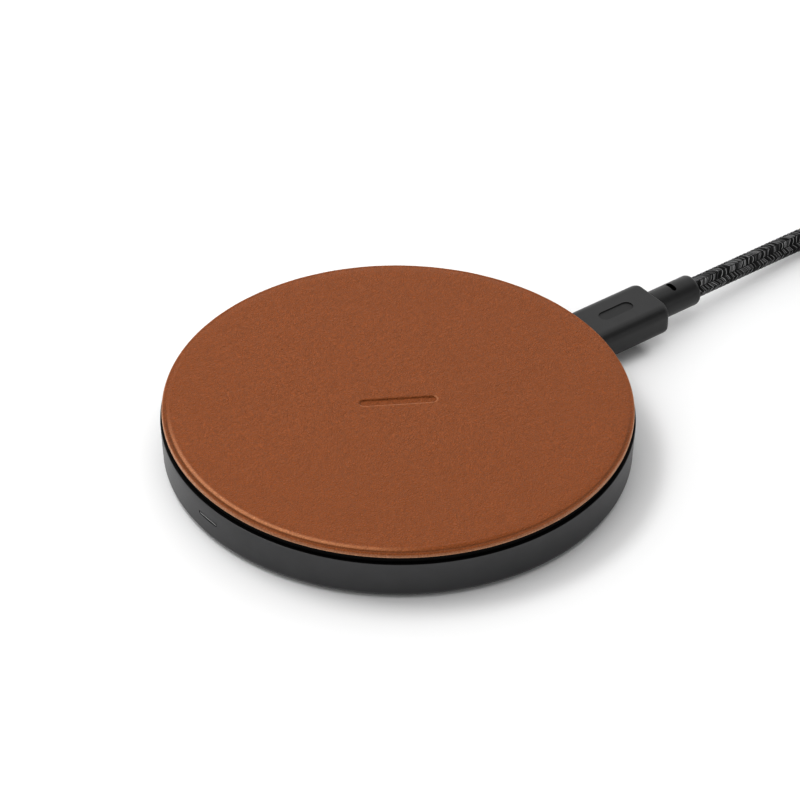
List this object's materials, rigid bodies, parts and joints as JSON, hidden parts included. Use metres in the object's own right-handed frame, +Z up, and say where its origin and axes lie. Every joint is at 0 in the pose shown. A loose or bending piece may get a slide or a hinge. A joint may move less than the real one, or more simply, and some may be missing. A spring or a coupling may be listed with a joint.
{
  "type": "wireless charging pad",
  "caption": "Round wireless charging pad with a leather top in a dark metal housing, and a detachable braided USB cable stored as a coil.",
  "frame": {"origin": "centre of the foot's underside, on the table", "axes": "+Z up out of the charging face, +Y out of the cable port, +X to the right seen from the front"},
  "size_m": [0.1447, 0.2326, 0.0117],
  "materials": {
    "tan_leather": "full-grain cowhide, light sheen, raw cut edge",
    "glue_film": "clear contact adhesive",
    "cover_plastic": "moulded black plastic, satin",
    "gunmetal_aluminium": "bead-blasted, anodised dark grey",
    "silicone": "soft matte silicone",
    "screw_steel": "zinc plated",
    "enamelled_copper": null,
    "tape": "double-sided adhesive tape",
    "ferrite": "sintered ferrite, matte",
    "foam": null,
    "thermistor_resin": "resin dipped bead",
    "board_laminate": "solder mask over glass-epoxy laminate",
    "connector_steel": "nickel-plated stamped steel",
    "connector_polymer": "glass-filled polymer, black",
    "connector_polymer_white": "glass-filled polymer, white",
    "gold_contacts": null,
    "chip_resin": "moulded epoxy",
    "capacitor_ceramic": "fired ceramic with tinned ends",
    "inductor_ferrite": "pressed ferrite block",
    "led_lens": "diffused white lens",
    "light_guide_clear": "smoked moulded acrylic",
    "thermal_silicone": "gap filler pad",
    "polyimide": "amber insulating film",
    "grip_plastic": "overmoulded black elastomer, fine matte texture",
    "cord_braid": "tight polyester braid, black and grey yarns",
    "strap_webbing": "hook-and-loop strap"
  },
  "bodies": {
    "pad": {"leather_top": "tan_leather", "leather_glue": "glue_film", "top_cover": "cover_plastic", "housing": "gunmetal_aluminium", "silicone_foot": "silicone", "housing_screws": "screw_steel", "power_coil": "enamelled_copper", "coil_leads": "enamelled_copper", "coil_tape": "tape", "ferrite_shield": "ferrite", "foam_spacer": "foam", "coil_thermistor": "thermistor_resin", "pcb": "board_laminate", "pcb_screws": "screw_steel", "port_shell": "connector_steel", "port_tongue": "connector_polymer", "port_contacts": "gold_contacts", "controller_ic": "chip_resin", "bridge_mosfets": "chip_resin", "resonance_capacitors": "capacitor_ceramic", "buck_inductor": "inductor_ferrite", "input_capacitors": "capacitor_ceramic", "chip_passives": "capacitor_ceramic", "status_leds": "led_lens", "light_guide": "light_guide_clear", "thermal_pad": "thermal_silicone", "insulation_film": "polyimide"},
    "cable": {"usb_c_shell": "connector_steel", "usb_c_insulator": "connector_polymer", "usb_c_contacts": "gold_contacts", "usb_c_paddle_card": "board_laminate", "usb_c_grip": "grip_plastic", "strain_relief": "grip_plastic", "cord_lead": "cord_braid", "cord_coil": "cord_braid", "cord_tail": "cord_braid", "cable_tie": "strap_webbing", "usb_a_relief": "grip_plastic", "usb_a_grip": "grip_plastic", "usb_a_shell": "connector_steel", "usb_a_insulator": "connector_polymer_white", "usb_a_contacts": "gold_contacts"}
  },
  "joints": [
    {"name": "plug_pull", "type": "slide", "parent": "pad", "child": "cable", "axis": [0, 1, 0], "range_m": [0, 0.009]}
  ]
}
